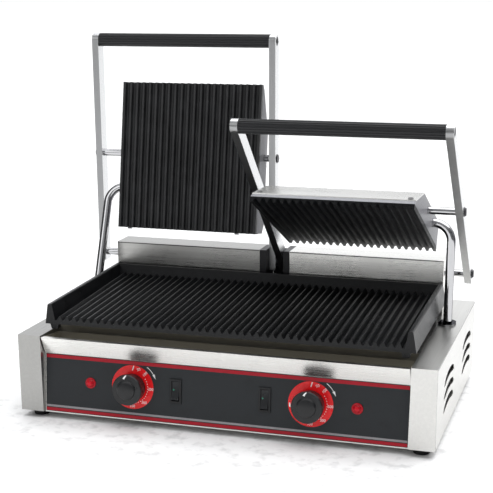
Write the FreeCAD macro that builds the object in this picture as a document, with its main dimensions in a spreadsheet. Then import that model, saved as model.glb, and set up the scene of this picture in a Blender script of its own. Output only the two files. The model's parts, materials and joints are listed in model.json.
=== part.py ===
import FreeCAD, Part
import math
import os
import re
import Sketcher
from FreeCAD import Placement, Rotation, Vector

# Double contact grill: one ribbed cast griddle in a stainless body, and two counterbalanced lids,
# each a ribbed upper plate hung on an axle between two flat arms.
# Millimetres. X runs along the body to the right, Y to the rear, Z up; the origin is on the surface
# that the feet stand on, under the middle of the object's box.

SIZES = {
    # body
    "body_width": 570, "body_depth": 350, "body_height": 107, "foot_height": 10, "pan_inset": 8.2,
    "cover_width": 33, "sheet_gauge": 1.2, "sheet_gap": 0.3, "upstand_height": 12,
    "louvre_length": 86, "louvre_rise": 13, "louvre_band": 9.5, "louvre_pitch": 18,
    "louvre_level": 88, "louvre_front": 104, "louvre_rear": 272,
    "foot_hole": 6, "foot_radius": 12.5, "foot_side_inset": 20, "foot_end_inset": 21,
    "gland_hole": 16, "gland_x": -190, "gland_z": 45, "gland_reach": 19,
    "deck_opening": 186,
    # control panel
    "panel_recess": 4, "panel_lean": 6, "panel_height": 81.4, "hem": 1.2, "overlay_gauge": 1,
    "control_level": 44.8, "dial_offset": 122.7, "dial_radius": 29.9, "dial_gauge": 0.6,
    "lamp_offset": 183.7, "lamp_radius": 5.4, "lamp_collar": 7.5,
    "switch_offset": 61.4, "switch_width": 16.2, "switch_height": 33,
    "rocker_width": 9.9, "rocker_height": 24.6, "rocker_tilt": 8, "rocker_pin": 1.2, "rocker_depth": 2.5,
    "knob_base": 18.7, "knob_radius": 20.8, "knob_cap": 12.6, "knob_length": 27.4, "spindle_radius": 3,
    "running_gap": 0.05, "fit_gap": 0.02,
    # drip tray
    "tray_top": 115.5, "tray_depth": 56, "tray_floor": 91.4, "tray_end_gap": 1.3, "tray_lean": 11,
    # griddle
    "griddle_width": 508, "griddle_depth": 239, "griddle_front": -152, "griddle_bottom": 129,
    "griddle_tilt": 1.25, "rib_slope": 1.2, "rim_height": 28, "rim_gauge": 6.5, "rim_draft": 4.3,
    "rib_top": 11.3, "rib_depth": 6, "rib_pitch": 10.33, "rib_tip": 2.8, "rib_foot": 7.6,
    "griddle_ribs": 46,
    "lug_height": 7, "lug_width": 13, "element_radius": 3.2,
    # hinge
    "hinge_y": 113.8, "hinge_z": 172.7, "housing_front": 90, "housing_rear": 131.5, "housing_top": 194.5,
    "housing_inner": 22.7, "housing_outer": 249.4, "end_cap": 9.5, "end_cap_wall": 2.5,
    "bracket_gauge": 3, "shaft_radius": 5, "bush_radius": 8,
    "spring_radius": 12, "spring_wire": 3, "spring_turns": 9,
    # lids
    "arm_length": 320.5, "arm_width": 18.8, "arm_gauge": 10, "arm_foot": 12, "axle_reach": 153.5,
    "outer_arm": 280.7, "inner_arm": 7.7, "left_arm_angle": 90.1, "right_arm_angle": 44.9,
    "left_plate_tilt": 100.3, "right_plate_tilt": 26,
    "grip_radius": 9.6, "rod_radius": 4, "flute_radius": 0.9, "flute_count": 18,
    "plate_inner": 22.1, "plate_outer": 237.1, "plate_front": 103.5, "plate_rear": 111,
    "axle_height": 28.6, "plate_edge": 7, "band_height": 13.8, "lid_top": 42.5, "slope_top": 38,
    "rear_top": -98,
    "plate_gauge": 11, "cheek_gauge": 3, "lid_sheet": 1.2, "upper_grooves": 21, "upper_pitch": 10,
    "groove_depth": 4.8,
    "lid_slope": 25.2, "lid_screw": 1.7,
    # wire tubes
    "tube_radius": 6, "tube_bore": 5, "tube_bend": 25, "tube_x": 264, "tube_leg": 175,
    "tube_root_back": 51, "tube_root_drop": 3, "left_tube_lean": 22.3, "right_tube_lean": 3.4,
    "ferrule_y": 39, "ferrule_slot": 23,
}

doc = FreeCAD.newDocument("double_contact_grill")
sheet = doc.addObject("Spreadsheet::Sheet", "Sizes")
for row, (alias, value) in enumerate(SIZES.items(), start=1):
    sheet.set(f"A{row}", alias)
    sheet.set(f"B{row}", str(value))
    sheet.setAlias(f"B{row}", alias)
doc.recompute()

SIDES = {"left": -1, "right": 1}
parts = []


def formula(text):
    """The expression with every alias pointed at the sheet; a bare number passes through."""
    return re.sub(r"[a-z][a-z_]*", lambda m: "Sizes." + m[0] if m[0] in SIZES else m[0], str(text))


def bind(item, **sizes):
    for prop, text in sizes.items():
        item.setExpression(prop, formula(text))
    return item


def place(item, x=0, y=0, z=0, axis=None, angle=0):
    """Bind an object's place, and its turn about one axis, to the sheet."""
    if axis is not None:
        item.Placement = Placement(Vector(), Rotation(axis, 10))
        item.setExpression("Placement.Rotation.Angle", formula(angle))
    for prop, text in (("x", x), ("y", y), ("z", z)):
        item.setExpression("Placement.Base." + prop, formula(text))
    return item


def box(length, width, height, x=0, y=0, z=0):
    """A box from its least corner."""
    item = bind(doc.addObject("Part::Box", "Block"), Length=length, Width=width, Height=height)
    return place(item, x, y, z)


def centred_box(length, width, height, x=0, y=0, z=0):
    """A box whose place is the middle of its least Z face."""
    return box(length, width, height, f"({x}) - ({length}) / 2", f"({y}) - ({width}) / 2", z)


AXES = {"x": (Vector(0, 1, 0), 90), "y": (Vector(1, 0, 0), -90), "z": (None, 0)}


def rod(radius, length, x=0, y=0, z=0, along="z"):
    """A cylinder that starts at its place and runs along one axis."""
    item = bind(doc.addObject("Part::Cylinder", "Rod"), Radius=radius, Height=length)
    axis, angle = AXES[along]
    return place(item, x, y, z, axis, angle)


def cone(base, top, length, x=0, y=0, z=0, along="z"):
    item = bind(doc.addObject("Part::Cone", "Taper"), Radius1=base, Radius2=top, Height=length)
    axis, angle = AXES[along]
    return place(item, x, y, z, axis, angle)


def fuse(*shapes):
    item = doc.addObject("Part::MultiFuse", "Union")
    item.Shapes = list(shapes)
    item.Refine = True
    return item


def cut(base, *tools):
    item = doc.addObject("Part::Cut", "Difference")
    item.Base = base
    item.Tool = tools[0] if len(tools) == 1 else fuse(*tools)
    item.Refine = True
    return item


def common(*shapes):
    item = doc.addObject("Part::MultiCommon", "Overlap")
    item.Shapes = list(shapes)
    return item


def group(*shapes):
    item = doc.addObject("Part::Compound", "Group")
    item.Links = list(shapes)
    return item


def part(item, name):
    """Name a finished sub-part: the label is its file and node name."""
    item.Label = name
    parts.append(item)
    return item


def new_body(name, finished=True):
    """A body; an unfinished one is only the base of a later difference."""
    body = doc.addObject("PartDesign::Body", name)
    if finished:
        part(body, name)
    return body


def origin_plane(body, role):
    return next(item for item in body.Origin.OriginFeatures if item.Role == role)


def new_sketch(body, role, offset=0):
    sketch = body.newObject("Sketcher::SketchObject", body.Name + "_Sketch")
    sketch.AttachmentSupport = [(origin_plane(body, role), "")]
    sketch.MapMode = "FlatFace"
    sketch.setExpression("AttachmentOffset.Base.z", formula(offset))
    return sketch


def fix_point(sketch, index, point, position):
    """Hold one point of a sketch at coordinates given by two formulas."""
    for kind, text in zip(("DistanceX", "DistanceY"), position):
        number = sketch.addConstraint(Sketcher.Constraint(kind, -1, 1, index, point, 1.0))
        sketch.setExpression(f"Constraints[{number}]", formula(text))


def outline(sketch, corners):
    """A closed run of straight edges through corners given as pairs of formulas."""
    count = len(corners)
    for index in range(count):
        turn = 2 * math.pi * index / count
        ahead = 2 * math.pi * (index + 1) / count
        start = Vector(math.cos(turn), math.sin(turn), 0)
        sketch.addGeometry(Part.LineSegment(start, Vector(math.cos(ahead), math.sin(ahead), 0)))
    for index in range(count):
        sketch.addConstraint(Sketcher.Constraint("Coincident", index, 2, (index + 1) % count, 1))
    for index, corner in enumerate(corners):
        fix_point(sketch, index, 1, corner)


def circle(sketch, radius, x=0, y=0):
    index = sketch.addGeometry(Part.Circle(Vector(0, 0, 0), Vector(0, 0, 1), 1))
    number = sketch.addConstraint(Sketcher.Constraint("Radius", index, 1.0))
    sketch.setExpression(f"Constraints[{number}]", formula(radius))
    fix_point(sketch, index, 3, (x, y))


def pad(body, sketch, length, midplane=False, back=False):
    feature = body.newObject("PartDesign::Pad", "Pad")
    feature.Profile = sketch
    feature.Midplane = midplane
    feature.Reversed = back
    return bind(feature, Length=length)


def pocket(body, sketch, midplane=True):
    feature = body.newObject("PartDesign::Pocket", "Pocket")
    feature.Profile = sketch
    feature.Type = "ThroughAll"
    feature.Midplane = midplane
    return feature


def revolve(body, sketch, axis="V_Axis"):
    feature = body.newObject("PartDesign::Revolution", "Revolution")
    feature.Profile = sketch
    feature.ReferenceAxis = (sketch, [axis])
    feature.Angle = 360
    return feature


def pattern(body, feature, sketch, axis, length, count):
    repeat = body.newObject("PartDesign::LinearPattern", "Pattern")
    repeat.Originals = [feature]
    repeat.Direction = (sketch, [axis])
    bind(repeat, Length=length, Occurrences=count)
    body.Tip = repeat
    return repeat


# --- stainless body -----------------------------------------------------------------------------

COVER_INNER = "body_width / 2 - cover_width"
BODY_TOP = "foot_height + body_height"


def build_base_pan():
    outer_x = "body_width - 2 * sheet_gauge - 2 * sheet_gap"
    outer_y = "body_depth - 2 * pan_inset"
    pan = centred_box(outer_x, outer_y, "upstand_height", 0, 0, "foot_height")
    hollow = centred_box(
        f"{outer_x} - 2 * sheet_gauge", f"{outer_y} - 2 * sheet_gauge", "upstand_height", 0, 0,
        "foot_height + sheet_gauge")
    holes = [rod("foot_hole / 2 + fit_gap", 10, x, y, "foot_height - 5") for x, y in foot_places()]
    vents = [centred_box(8, 90, 10, f"{step} * 24", 10, "foot_height - 5") for step in range(-5, 6)]
    part(cut(pan, hollow, *holes, *vents), "base_pan")


def foot_places():
    for side in SIDES.values():
        for end in (-1, 1):
            x = f"{side} * (body_width / 2 - foot_side_inset)"
            yield x, f"{end} * (body_depth / 2 - foot_end_inset)"


def louvre_tools(side):
    """Arched slots in the side sheet: a crescent between two ellipses, one above the other."""
    tools = []
    for middle in ("louvre_front", "louvre_rear"):
        for step in range(3):
            level = f"louvre_level - louvre_rise - {step} * louvre_pitch + foot_height - louvre_band"
            y = f"{middle} - body_depth / 2"
            upper = bind(
                doc.addObject("Part::Ellipsoid", "Arch"),
                Radius1="louvre_rise", Radius2=20, Radius3="louvre_length / 2")
            place(upper, f"{side} * body_width / 2", y, level)
            lower = bind(
                doc.addObject("Part::Ellipsoid", "Arch"),
                Radius1="louvre_rise", Radius2=30, Radius3="louvre_length / 2 + 3")
            place(lower, f"{side} * body_width / 2", y, f"{level} - louvre_band")
            floor = centred_box(90, "louvre_length + 20", "louvre_rise", f"{side} * body_width / 2", y,
                                f"{level} - louvre_rise")
            tools.append(cut(upper, lower, floor))
    return tools


def build_side_cover(name, side):
    """A folded shell, open below and inwards, returned down its inner top edge and round its front."""
    x = f"{side} * (body_width - cover_width) / 2"
    shell = centred_box("cover_width", "body_depth", "body_height", x, 0, "foot_height")
    hollow = centred_box(
        "cover_width", "body_depth - 2 * sheet_gauge", "body_height", f"{x} - {side} * sheet_gauge", 0,
        "foot_height - sheet_gauge")
    edge = f"{side} * ({COVER_INNER} + sheet_gauge / 2)"
    flange = centred_box("sheet_gauge", "body_depth", 9, edge, 0, f"{BODY_TOP} - 9")
    front_return = centred_box(
        "sheet_gauge", "pan_inset - 0.4", "body_height", edge, "(pan_inset - 0.4 - body_depth) / 2",
        "foot_height")
    clear_of_pan = "upstand_height + 0.4"
    deep_return = centred_box(
        "sheet_gauge", 18, f"body_height - ({clear_of_pan})", edge, "9 - body_depth / 2",
        f"foot_height + {clear_of_pan}")
    slot = slot_tool(f"{side} * tube_x", "2 + 4 * fit_gap")
    shape = fuse(cut(shell, hollow), flange, front_return, deep_return)
    part(cut(shape, slot, *louvre_tools(side)), f"{name}_side_cover")


def slot_tool(x, margin):
    """The long hole that a wire tube swings in, with its length from front to rear."""
    width = f"2 * tube_radius + 1 + {margin}"
    run = "ferrule_slot - 2 * tube_radius - 1"
    middle = centred_box(width, run, 30, x, "ferrule_y", f"{BODY_TOP} - 15")
    ends = [
        rod(f"tube_radius + 0.5 + {margin} / 2", 30, x, f"ferrule_y + {end} * ({run}) / 2",
            f"{BODY_TOP} - 15")
        for end in (-1, 1)]
    return fuse(middle, *ends)


def build_rear_panel():
    sheet_body = box(
        f"2 * ({COVER_INNER}) - 2 * sheet_gap", "sheet_gauge",
        "body_height - 2 * sheet_gauge - upstand_height", f"sheet_gap - ({COVER_INNER})",
        "body_depth / 2 - sheet_gauge", "foot_height + upstand_height")
    vents = [
        box(60, 10, 4, f"{column} * 80 - 30", "body_depth / 2 - 5", f"45 + {line} * 12")
        for column in (-1, 0, 1) for line in range(4)]
    gland_hole = rod("gland_hole / 2", 10, "gland_x", "body_depth / 2 - 5", "gland_z", "y")
    part(cut(sheet_body, gland_hole, *vents), "rear_panel")


def build_top_deck():
    """The deck between the covers, behind the tray channel, open under the griddle."""
    front = "tray_depth - body_depth / 2 + 8"
    width = f"2 * ({COVER_INNER}) - 2 * sheet_gap"
    left = f"sheet_gap - ({COVER_INNER})"
    deck = box(width, f"body_depth / 2 - ({front})", "sheet_gauge", left, front, f"{BODY_TOP} - sheet_gauge")
    apron = box(width, "sheet_gauge", 26, left, front, f"{BODY_TOP} - 26")
    opening = box(462, "deck_opening", 20, -231, f"{front} + 16", f"{BODY_TOP} - 10")
    part(cut(fuse(deck, apron), opening), "top_deck")


# --- control panel ------------------------------------------------------------------------------

PANEL_FOOT = "panel_recess - body_depth / 2"


def panel_point(depth, rise):
    """The Y and Z of a point that far behind the leaning panel's face, and that far up it."""
    return (
        f"{PANEL_FOOT} + ({rise}) * sin(panel_lean) + ({depth}) * cos(panel_lean)",
        f"foot_height + ({rise}) * cos(panel_lean) - ({depth}) * sin(panel_lean)")


def on_panel(item):
    """Put an item made with the panel upright, its face at Y 0 and its foot at Z 0, on the body."""
    return place(item, 0, PANEL_FOOT, "foot_height", Vector(-1, 0, 0), "panel_lean")


def build_control_panel():
    """The front sheet and its top flange, which the tray runs on."""
    body = new_body("panel_sheet", finished=False)
    section = new_sketch(body, "YZ_Plane")
    corner = panel_point("overlay_gauge", "panel_height")
    inside = "panel_height - sheet_gauge * (1 - sin(panel_lean)) / cos(panel_lean)"
    rear = "tray_depth - 1 - body_depth / 2"
    outline(section, [
        panel_point("overlay_gauge", "-hem"), corner, (rear, corner[1]),
        (rear, f"{corner[1]} - sheet_gauge"),
        panel_point("overlay_gauge + sheet_gauge", inside),
        panel_point("overlay_gauge + sheet_gauge", "-hem")])
    pad(body, section, f"2 * ({COVER_INNER}) - 2 * sheet_gap", midplane=True)
    part(cut(body, on_panel(fuse(*panel_holes(0)))), "control_panel")


def panel_holes(grow):
    """Through holes for the spindles, lamps and switches."""
    holes = []
    for side in SIDES.values():
        holes.append(rod(
            f"spindle_radius + 1 + {grow}", 14, f"{side} * dial_offset", -5, "control_level", "y"))
        holes.append(rod(f"lamp_radius + {grow} / 2", 14, f"{side} * lamp_offset", -5, "control_level", "y"))
        holes.append(centred_box(
            f"switch_width - 3 + {grow}", 20, f"switch_height - 4 + {grow}", f"{side} * switch_offset",
            0, f"control_level - (switch_height - 4 + {grow}) / 2"))
    return holes


def build_fascia_overlay():
    plate = box(
        f"2 * ({COVER_INNER}) - 2 * sheet_gap - 4", "overlay_gauge", "panel_height - 1.3",
        f"sheet_gap + 2 - ({COVER_INNER})", 0, 0.6)
    part(on_panel(cut(plate, *panel_holes(0.5))), "fascia_overlay")


def build_dial_plates():
    dials = []
    for side in SIDES.values():
        disc = rod("dial_radius", "dial_gauge", f"{side} * dial_offset", "-dial_gauge", "control_level", "y")
        bore = rod("spindle_radius + 1.5", 5, f"{side} * dial_offset", -2, "control_level", "y")
        dials.append(cut(disc, bore))
    part(on_panel(group(*dials)), "dial_plates")


def build_indicator_lamp(name, side):
    """Domed lens, collar on the panel's face and body behind it, turned about the lamp's axis."""
    body = new_body(f"{name}_lamp_turning", finished=False)
    sketch = new_sketch(body, "XY_Plane")
    outline(sketch, [
        (0, "-4.9"), ("lamp_radius * 0.55", "-4.3"), ("lamp_radius * 0.9", "-2.9"), ("lamp_radius", "-1.6"),
        ("lamp_collar - 0.5", "-1.6"), ("lamp_collar", "-1.1"), ("lamp_collar", "-0.02"),
        ("lamp_radius - 0.1", "-0.02"), ("lamp_radius - 0.1", 18), (0, 18)])
    revolve(body, sketch)
    place(body, f"{side} * lamp_offset", 0, "control_level")
    part(on_panel(group(body)), f"{name}_indicator_lamp")


def build_switch(name, side):
    """The switch's frame and case, and the rocker that tips in it about a crosswise axis."""
    x = f"{side} * switch_offset"
    frame = centred_box("switch_width", 1.8, "switch_height", x, "-0.92",
                        "control_level - switch_height / 2")
    case = centred_box("switch_width - 3.4", 24, "switch_height - 4.4", x, 11.9,
                       "control_level - (switch_height - 4.4) / 2")
    well = centred_box("rocker_width + 0.8", 22, "rocker_height + 2.4", x, 4.6,
                       "control_level - (rocker_height + 2.4) / 2")
    dimple = rod("rocker_pin + running_gap", "rocker_width + 2", f"{x} - rocker_width / 2 - 1",
                 "rocker_depth", "control_level", "x")
    part(on_panel(cut(fuse(frame, case), well, dimple)), f"{name}_switch_housing")
    body = new_body(f"{name}_rocker")
    sketch = new_sketch(body, "YZ_Plane")
    outline(sketch, [
        ("-2.4 - rocker_depth", "-rocker_height / 2"), ("-0.8 - rocker_depth", 0),
        ("-2.4 - rocker_depth", "rocker_height / 2"), (1, "rocker_height / 2"), (8, 3), (8, "-3"),
        (1, "-rocker_height / 2")])
    pad(body, sketch, "rocker_width", midplane=True)
    pin = new_sketch(body, "YZ_Plane")
    circle(pin, "rocker_pin")
    pad(body, pin, "rocker_width + 1.6", midplane=True)
    place(body, x, *panel_point("rocker_depth", "control_level"), Vector(-1, 0, 0),
          "rocker_tilt + panel_lean")


def build_thermostat(name, side):
    """Capillary thermostat behind the panel, its spindle, and the knob on the spindle."""
    x = f"{side} * dial_offset"
    back = "overlay_gauge + sheet_gauge"
    case = centred_box(42, 24, 42, x, f"{back} + 14", "control_level - 21")
    nose = rod("spindle_radius + 2.5", 2.1, x, back, "control_level", "y")
    bore = rod("spindle_radius + running_gap", 18, x, f"{back} - 1", "control_level", "y")
    bulb_clip = centred_box(16, 20, 8, x, f"{back} + 35.9", "control_level - 4")
    part(on_panel(cut(fuse(case, nose, bulb_clip), bore)), f"{name}_thermostat")
    spindle = rod("spindle_radius", "knob_length + 4.8", x, "11.2 - knob_length", "control_level", "y")
    part(on_panel(group(spindle)), f"{name}_spindle")
    build_knob(name, x)


def build_knob(name, x):
    """A turned knob: plain skirt, wider rim in front of it, and a domed cap."""
    body = new_body(f"{name}_knob_turning", finished=False)
    sketch = new_sketch(body, "XY_Plane")
    bore = "spindle_radius + running_gap / 2"
    outline(sketch, [
        (bore, "-1.4"), ("knob_base - 0.6", "-1.4"), ("knob_base", "-2"), ("knob_base + 0.4", "-14.6"),
        ("knob_radius - 0.3", "-16.4"), ("knob_radius", "-17.4"), ("knob_radius", "-21.4"),
        ("knob_radius - 0.9", "-22.6"), ("knob_cap + 1.2", "-22.9"), ("knob_cap", "-23.6"),
        ("knob_cap - 0.4", "1.9 - knob_length"), ("knob_cap - 2", "0.9 - knob_length"),
        ("knob_cap * 0.45", "0.2 - knob_length"), (0, "-knob_length"), (0, "11 - knob_length"),
        (bore, "11 - knob_length")])
    revolve(body, sketch)
    place(body, x, 0, "control_level")
    part(on_panel(group(body)), f"{name}_knob")


# --- drip tray ----------------------------------------------------------------------------------

def build_drip_tray():
    """A folded channel: the lip leans out to the body's front, and the ends are closed."""
    front = "-body_depth / 2"
    lip_foot = f"{front} + tray_lean"
    rear = f"{front} + tray_depth"
    gauge = "sheet_gauge"
    section = [
        (lip_foot, "tray_floor"), (rear, "tray_floor"), (rear, "tray_top - 6"),
        (f"{rear} - {gauge}", "tray_top - 6"), (f"{rear} - {gauge}", f"tray_floor + {gauge}"),
        (f"{lip_foot} + {gauge}", f"tray_floor + {gauge}"),
        (f"{front} + 2 * {gauge}", f"tray_top - {gauge}"),
        (f"{front} + 7", f"tray_top - {gauge}"), (f"{front} + 7", "tray_top"), (front, "tray_top")]
    body = new_body("drip_tray")
    width = f"2 * ({COVER_INNER} - tray_end_gap)"
    sketch = new_sketch(body, "YZ_Plane")
    outline(sketch, section)
    pad(body, sketch, width, midplane=True)
    for side in SIDES.values():
        wall = new_sketch(body, "YZ_Plane", f"{side} * ({COVER_INNER} - tray_end_gap)")
        outline(wall, [
            (lip_foot, "tray_floor"), (rear, "tray_floor"), (rear, "tray_top - 6"), (front, "tray_top")])
        pad(body, wall, gauge, back=side > 0)


# --- griddle ------------------------------------------------------------------------------------

def rib_outline(x, foot, tip, top, depth):
    """One rib's section, standing on the groove floor."""
    return [
        (f"{x} - {foot} / 2", f"{top} - {depth} - 0.5"), (f"{x} + {foot} / 2", f"{top} - {depth} - 0.5"),
        (f"{x} + {foot} / 2", f"{top} - {depth}"), (f"{x} + {tip} / 2", f"{top} - 0.7"),
        (f"{x} + {tip} / 4", top), (f"{x} - {tip} / 4", top), (f"{x} - {tip} / 2", f"{top} - 0.7"),
        (f"{x} - {foot} / 2", f"{top} - {depth}")]


def rest_height(reach):
    """How far a foot of the casting reaches down to the deck, that far behind its front edge."""
    return f"griddle_bottom + ({reach}) * sin(griddle_tilt) - ({BODY_TOP}) - 0.12"


def build_griddle():
    """One casting: rims at both sides and the rear, open at the front, ribbed from front to rear."""
    body = new_body("griddle_casting", finished=False)
    half = "griddle_width / 2"
    floor = "rib_top - rib_depth"
    section = new_sketch(body, "XZ_Plane")
    outline(section, [
        (f"-({half})", 0), (half, 0), (f"{half} - rim_draft", "rim_height - 1.5"),
        (f"{half} - rim_draft - 1.5", "rim_height"), (f"{half} - rim_draft - rim_gauge + 1", "rim_height"),
        (f"{half} - rim_draft - rim_gauge", "rim_height - 1"), (f"{half} - 2.2 * rim_gauge", floor),
        (f"-({half} - 2.2 * rim_gauge)", floor), (f"-({half} - rim_draft - rim_gauge)", "rim_height - 1"),
        (f"-({half} - rim_draft - rim_gauge + 1)", "rim_height"),
        (f"-({half} - rim_draft - 1.5)", "rim_height"), (f"-({half} - rim_draft)", "rim_height - 1.5")])
    pad(body, section, "griddle_depth", back=True)
    rear = new_sketch(body, "YZ_Plane")
    outline(rear, [
        ("griddle_depth - 2 * rim_gauge", f"{floor} - 1"), ("griddle_depth", f"{floor} - 1"),
        ("griddle_depth - 2", "rim_height - 1.5"), ("griddle_depth - 3.5", "rim_height"),
        ("griddle_depth - rim_gauge", "rim_height")])
    pad(body, rear, "griddle_width - 2 * rim_draft - 4", midplane=True)
    for side in SIDES.values():
        for reach, height in (("5", "lug_height"), ("52", rest_height("52")), ("215", rest_height("215"))):
            lug = new_sketch(body, "XZ_Plane", f"-({reach})")
            x = f"{side} * ({half} - 13)"
            outline(lug, [
                (f"{x} - lug_width / 2", 1), (f"{x} - lug_width / 3", f"-({height})"),
                (f"{x} + lug_width / 3", f"-({height})"), (f"{x} + lug_width / 2", 1)])
            pad(body, lug, 9, midplane=True)
    casting = fuse(body, build_rib_field())
    place(casting, 0, "griddle_front", "griddle_bottom", Vector(1, 0, 0), "griddle_tilt")
    part(casting, "griddle_plate")


def build_rib_field():
    """The ribbed floor, which slopes down to the front inside the rims."""
    body = new_body("rib_field", finished=False)
    half = "griddle_width / 2 - 9"
    slab = new_sketch(body, "XZ_Plane")
    outline(slab, [
        (f"-({half})", 0.6), (half, 0.6), (half, "rib_top - rib_depth"),
        (f"-({half})", "rib_top - rib_depth")])
    pad(body, slab, "griddle_depth - 7", back=True)
    first = "-(griddle_ribs - 1) * rib_pitch / 2"
    rib_sketch = new_sketch(body, "XZ_Plane")
    outline(rib_sketch, rib_outline(first, "rib_foot", "rib_tip", "rib_top", "rib_depth"))
    rib = pad(body, rib_sketch, "griddle_depth - 7", back=True)
    pattern(body, rib, rib_sketch, "H_Axis", "(griddle_ribs - 1) * rib_pitch", "griddle_ribs")
    return place(body, 0, 0, 0, Vector(1, 0, 0), "rib_slope")


def build_griddle_heating():
    """One hairpin element under each half of the griddle, and the shield that hangs below them."""
    elements = []
    for side in SIDES.values():
        element = hairpin(150, "-element_radius - 0.2", 50, 190)
        place(element, f"{side} * griddle_width / 4", "griddle_front", "griddle_bottom", Vector(1, 0, 0),
              "griddle_tilt")
        elements.append(element)
    part(group(*elements), "griddle_elements")
    deck_low = f"{BODY_TOP} - sheet_gauge"
    pan = centred_box(476, 196, 12, 0, -1, f"{deck_low} - 12")
    hollow = centred_box(460, 190, 12, 0, -1, f"{deck_low} - 10.8")
    part(cut(pan, hollow), "heat_shield")


def hairpin(reach, level, front, rear, runs=4):
    """A tubular element: straight runs from side to side, joined by half-round bends."""
    gap = f"({rear} - ({front})) / {runs - 1}"
    solids = []
    for run in range(runs):
        y = f"{front} + {run} * {gap}"
        solids.append(rod("element_radius", reach, f"-({reach}) / 2", y, level, "x"))
        if run < runs - 1:
            end = 1 if run % 2 == 0 else -1
            bend = bind(doc.addObject("Part::Torus", "Bend"), Radius1=f"{gap} / 2", Radius2="element_radius")
            bend.Angle3 = 180
            place(bend, f"{end} * {reach} / 2", f"{y} + {gap} / 2", level, Vector(0, 0, 1), -90 * end)
            solids.append(bend)
    return fuse(*solids)


# --- hinge --------------------------------------------------------------------------------------

def build_hinge_housing(name, side):
    """A folded box over the bearings, open below, with a clearance hole for the shaft at each end."""
    length = "housing_outer - housing_inner"
    depth = "housing_rear - housing_front"
    x = f"{side} * (housing_outer + housing_inner) / 2"
    y = "(housing_rear + housing_front) / 2"
    height = f"housing_top - ({BODY_TOP})"
    shell = centred_box(length, depth, height, x, y, BODY_TOP)
    hollow = centred_box(f"{length} - 2 * sheet_gauge", f"{depth} - 2 * sheet_gauge", height, x, y,
                         f"{BODY_TOP} - sheet_gauge")
    bore = rod("shaft_radius + 2", f"{length} + 20", f"{x} - ({length}) / 2 - 10", "hinge_y", "hinge_z", "x")
    part(cut(shell, hollow, bore), f"{name}_hinge_housing")


def build_end_caps():
    """Black moulding between the housings: a hollow cap over each inner end, a floor and a back."""
    pieces = []
    depth = "housing_rear - housing_front"
    y = "(housing_rear + housing_front) / 2"
    height = f"housing_top - ({BODY_TOP}) - 0.3"
    for side in SIDES.values():
        x = f"{side} * (housing_inner - end_cap / 2)"
        shell = centred_box("end_cap", depth, height, x, y, BODY_TOP)
        hollow = centred_box(
            "end_cap", f"{depth} - 2 * end_cap_wall", f"{height} - 2 * end_cap_wall",
            f"{x} + {side} * end_cap_wall", y, f"{BODY_TOP} + end_cap_wall")
        bore = rod("shaft_radius + 2", 60, -30, "hinge_y", "hinge_z", "x")
        pieces.append(cut(shell, hollow, bore))
    gap = "2 * (housing_inner - end_cap - sheet_gap)"
    back = 1.5
    pieces.append(centred_box(gap, f"{depth} - {back} - sheet_gap", 2, 0, f"{y} - ({back} + sheet_gap) / 2",
                              BODY_TOP))
    pieces.append(centred_box(gap, back, f"{height} - 4", 0, f"housing_rear - {back} / 2", BODY_TOP))
    part(group(*pieces), "housing_end_caps")


def bearing_places():
    """Middles of the four bearing brackets, from left to right."""
    for side in SIDES.values():
        for place_in in ("housing_inner + 7", "housing_outer - 7"):
            yield f"{side} * ({place_in})"


def build_bearings():
    brackets = []
    bushes = []
    for x in bearing_places():
        web = centred_box("bracket_gauge", 30, f"hinge_z + 14 - ({BODY_TOP})", x, "hinge_y - 2", BODY_TOP)
        foot = centred_box(9, 30, "bracket_gauge", x, "hinge_y - 2", BODY_TOP)
        seat = rod("bush_radius + fit_gap", 20, f"{x} - 10", "hinge_y", "hinge_z", "x")
        brackets.append(cut(fuse(web, foot), seat))
        sleeve = rod("bush_radius", 9, f"{x} - 4.5", "hinge_y", "hinge_z", "x")
        collar = rod("bush_radius + 1.5", 2, f"{x} + bracket_gauge / 2", "hinge_y", "hinge_z", "x")
        bore = rod("shaft_radius + running_gap", 20, f"{x} - 10", "hinge_y", "hinge_z", "x")
        bushes.append(cut(fuse(sleeve, collar), bore))
    part(group(*brackets), "hinge_brackets")
    part(group(*bushes), "hinge_bushes")


def build_springs():
    """A close-wound torsion spring round each shaft takes most of the lid's weight."""
    springs = []
    for side in SIDES.values():
        pitch = "spring_wire + 0.6"
        helix = bind(doc.addObject("Part::Helix", "Coil"), Pitch=pitch, Height=f"spring_turns * ({pitch})",
                     Radius="spring_radius")
        ring = bind(doc.addObject("Part::Circle", "Wire"), Radius="spring_wire / 2")
        place(ring, "spring_radius", 0, 0, Vector(1, 0, 0), 90)
        coil = doc.addObject("Part::Sweep", "Spring")
        coil.Sections = [ring]
        coil.Spine = (helix, ["Edge1"])
        coil.Solid = True
        coil.Frenet = True
        place(coil, f"{side} * 80 - 16", "hinge_y", "hinge_z", Vector(0, 1, 0), 90)
        springs.append(coil)
    part(group(*springs), "counterbalance_springs")


# --- lids ---------------------------------------------------------------------------------------

def on_arm(item, name, x=0):
    """Put an item made about the hinge, with its arm lying forwards, at the arm's rest angle."""
    return place(item, x, "hinge_y", "hinge_z", Vector(-1, 0, 0), f"{name}_arm_angle")


def on_lid(item, name, x=0):
    """Put an item made about the axle, with the lid level, at the lid's rest tilt."""
    y = f"hinge_y - axle_reach * cos({name}_arm_angle)"
    z = f"hinge_z + axle_reach * sin({name}_arm_angle)"
    return place(item, x, y, z, Vector(-1, 0, 0), f"{name}_plate_tilt")


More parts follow.
